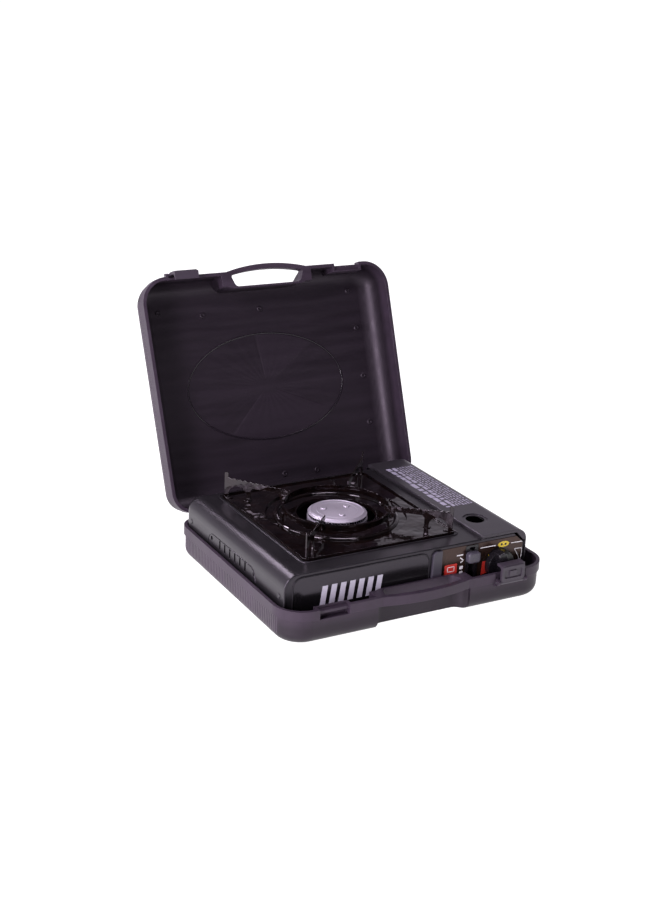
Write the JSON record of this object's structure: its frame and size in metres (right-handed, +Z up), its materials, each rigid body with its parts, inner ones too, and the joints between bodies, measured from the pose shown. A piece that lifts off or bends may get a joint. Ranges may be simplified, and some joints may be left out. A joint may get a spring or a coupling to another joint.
{
  "type": "portable gas stove in a carrying box",
  "caption": "Portable single-burner gas stove standing in its open hinged carrying box, with a lift-out drip pan, hinged cartridge cover, turn knob and lock lever.",
  "frame": {"origin": "on the floor, under the middle of the stove body", "axes": "+Z up, +X to the right of the cook, -Y towards the cook (controls side)"},
  "size_m": [0.3722, 0.4743, 0.3452],
  "materials": {
    "case_plastic": "satin, moulded texture",
    "body_black": "satin black paint",
    "enamel": "glossy black-brown enamel",
    "burner_metal": "cast, lightly polished",
    "zinc_steel": "zinc plated",
    "pin_steel": "plain",
    "knob_plastic": "semi-gloss",
    "cap_plastic": "satin",
    "label_film": "printed film",
    "brass": "machined",
    "foot_rubber": "matt",
    "ceramic": "glazed",
    "die_cast": "die-cast"
  },
  "bodies": {
    "box_base": {"case_base": "case_plastic", "case_hinge_pins": "pin_steel", "base_latch_pin": "pin_steel"},
    "box_lid": {"case_lid": "case_plastic", "lid_latch_pin": "pin_steel"},
    "right_latch": {"base_latch": "case_plastic"},
    "left_latch": {"lid_latch": "case_plastic"},
    "stove": {"body_shell": "body_black", "base_tray": "zinc_steel", "front_panel": "body_black", "panel_end_cap": "cap_plastic", "control_label": "label_film", "rubber_feet": "foot_rubber", "side_screws": "zinc_steel", "bay_partition": "zinc_steel", "cartridge_cradle": "zinc_steel", "burner_body": "burner_metal", "burner_cap": "burner_metal", "burner_bracket": "zinc_steel", "mixing_tube": "zinc_steel", "regulator_body": "die_cast", "regulator_cap": "die_cast", "gas_jet": "brass", "heat_plate": "zinc_steel", "electrode_ceramic": "ceramic", "electrode_pin": "pin_steel", "electrode_bracket": "zinc_steel", "igniter_module": "knob_plastic", "lever_guide": "knob_plastic", "cover_hinge_pins": "pin_steel"},
    "pan_set": {"drip_pan": "enamel", "wind_ring": "enamel", "pan_support_front_left": "enamel", "pan_support_front_right": "enamel", "pan_support_rear_left": "enamel", "pan_support_rear_right": "enamel"},
    "cover": {"cartridge_cover": "body_black"},
    "knob": {"ignition_knob": "knob_plastic", "valve_spindle": "brass"},
    "lever": {"lock_lever": "cap_plastic"},
    "pusher": {"push_plate": "zinc_steel"}
  },
  "joints": [
    {"name": "lid_hinge", "type": "hinge", "parent": "box_base", "child": "box_lid", "pos_m": [0.0075, 0.1525, 0.044], "axis": [-1, 0, 0], "range_deg": [-70, 0]},
    {"name": "right_latch_hinge", "type": "hinge", "parent": "box_base", "child": "right_latch", "pos_m": [0.1315, -0.164, 0.0325], "axis": [1, 0, 0], "range_deg": [0, 95]},
    {"name": "left_latch_hinge", "type": "hinge", "parent": "box_lid", "child": "left_latch", "pos_m": [-0.1165, 0.28021, 0.33382], "axis": [-1, 0, 0], "range_deg": [0, 95]},
    {"name": "stove_lift", "type": "slide", "parent": "box_base", "child": "stove", "axis": [0, 0, 1], "range_m": [0, 0.06]},
    {"name": "pan_lift", "type": "slide", "parent": "stove", "child": "pan_set", "axis": [0, 0, 1], "range_m": [0, 0.07]},
    {"name": "cover_hinge", "type": "hinge", "parent": "stove", "child": "cover", "pos_m": [0.1719, 0, 0.06175], "axis": [0, 1, 0], "range_deg": [0, 95]},
    {"name": "knob_turn", "type": "hinge", "parent": "stove", "child": "knob", "pos_m": [0.1295, -0.14, 0.045], "axis": [0, -1, 0], "range_deg": [0, 120]},
    {"name": "lever_slide", "type": "slide", "parent": "stove", "child": "lever", "axis": [0, 0, -1], "range_m": [0, 0.018]},
    {"name": "pusher_slide", "type": "slide", "parent": "stove", "child": "pusher", "axis": [0, -1, 0], "range_m": [0, 0.008]}
  ],
  "couplings": [
    {"joint": "pusher_slide", "follows": "lever_slide", "ratio": 0.4444}
  ]
}
